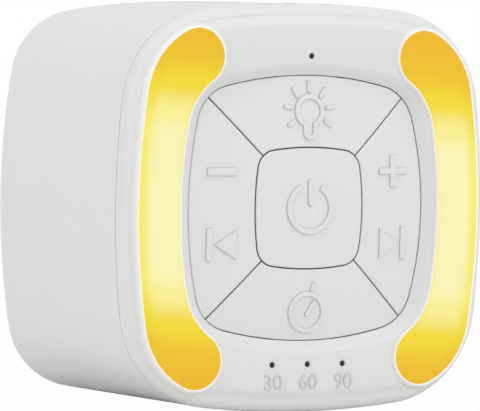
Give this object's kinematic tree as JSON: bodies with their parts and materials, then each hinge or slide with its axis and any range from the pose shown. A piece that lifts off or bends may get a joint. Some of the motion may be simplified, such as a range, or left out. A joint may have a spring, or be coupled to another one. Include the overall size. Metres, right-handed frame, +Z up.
{
  "type": "white noise sound machine",
  "caption": "Small rounded-square white noise sound machine with a field of push keys between two curved amber light windows, a speaker under its slotted top and a battery bay in its back.",
  "frame": {"origin": "centre of the box's footprint on the floor, under the middle of its width and depth", "axes": "+X to the right seen from the front, +Y to the back, the keys face -Y, +Z up"},
  "size_m": [0.089, 0.07, 0.0891],
  "materials": {
    "body": "fine matt",
    "keys": "fine matt",
    "lens": "smooth, lit from behind",
    "light_box": "matt white",
    "light_board": "satin",
    "lamp": "lit",
    "light_pipe": "dark, clear",
    "frame": "matt black",
    "silicone": "matt",
    "foot": "matt",
    "steel": "plain",
    "contact": "nickel plated",
    "board": "satin green",
    "switch": "satin black",
    "chip": "matt black",
    "can": "sleeved",
    "socket": "satin",
    "basket": "black",
    "cone": "matt black",
    "magnet": "ferrite with steel plates",
    "gasket": "foam",
    "cell": "printed sleeve, plain",
    "wire": "insulation"
  },
  "bodies": {
    "housing": {"battery_cells": "cell", "battery_contacts": "contact", "battery_leads": "wire", "board_screws": "steel", "button_mat": "silicone", "capacitor": "can", "control_chip": "chip", "frame_screws": "steel", "front_housing": "body", "housing_screws": "steel", "indicator_leds": "lamp", "indicator_light_pipes": "light_pipe", "key_frame": "frame", "key_switches": "switch", "lead_sockets": "socket", "left_light_board": "light_board", "left_light_box": "light_box", "left_light_leds": "lamp", "left_light_window": "lens", "main_board": "board", "rear_housing": "body", "right_light_board": "light_board", "right_light_box": "light_box", "right_light_leds": "lamp", "right_light_window": "lens", "rocker_pins": "steel", "rubber_feet": "foot", "sound_chip": "chip", "speaker_cone": "cone", "speaker_frame": "basket", "speaker_gasket": "gasket", "speaker_leads": "wire", "speaker_magnet": "magnet", "speaker_screws": "steel"},
    "power_key": {"power_button": "keys"},
    "light_key": {"light_button": "keys"},
    "timer_key": {"timer_button": "keys"},
    "left_rocker_key": {"left_rocker": "keys"},
    "right_rocker_key": {"right_rocker": "keys"},
    "door": {"battery_door": "body", "battery_door_screws": "steel"}
  },
  "joints": [
    {"name": "power_press", "type": "slide", "parent": "housing", "child": "power_key", "axis": [0, 1, 0], "range_m": [0, 0.0008], "stiffness_N_per_m": 900, "springref_m": -0.0003},
    {"name": "light_press", "type": "slide", "parent": "housing", "child": "light_key", "axis": [0, 1, 0], "range_m": [0, 0.0008], "stiffness_N_per_m": 900, "springref_m": -0.0003},
    {"name": "timer_press", "type": "slide", "parent": "housing", "child": "timer_key", "axis": [0, 1, 0], "range_m": [0, 0.0008], "stiffness_N_per_m": 900, "springref_m": -0.0003},
    {"name": "left_rocker_tilt", "type": "hinge", "parent": "housing", "child": "left_rocker_key", "pos_m": [0, -0.0286, 0.0446], "axis": [1, 0, 0], "range_deg": [-2.2, 2.2], "stiffness_Nm_per_rad": 0.15},
    {"name": "right_rocker_tilt", "type": "hinge", "parent": "housing", "child": "right_rocker_key", "pos_m": [0, -0.0286, 0.0446], "axis": [1, 0, 0], "range_deg": [-2.2, 2.2], "stiffness_Nm_per_rad": 0.15},
    {"name": "battery_door_lift", "type": "slide", "parent": "housing", "child": "door", "axis": [0, 1, 0], "range_m": [0, 0.025]}
  ]
}
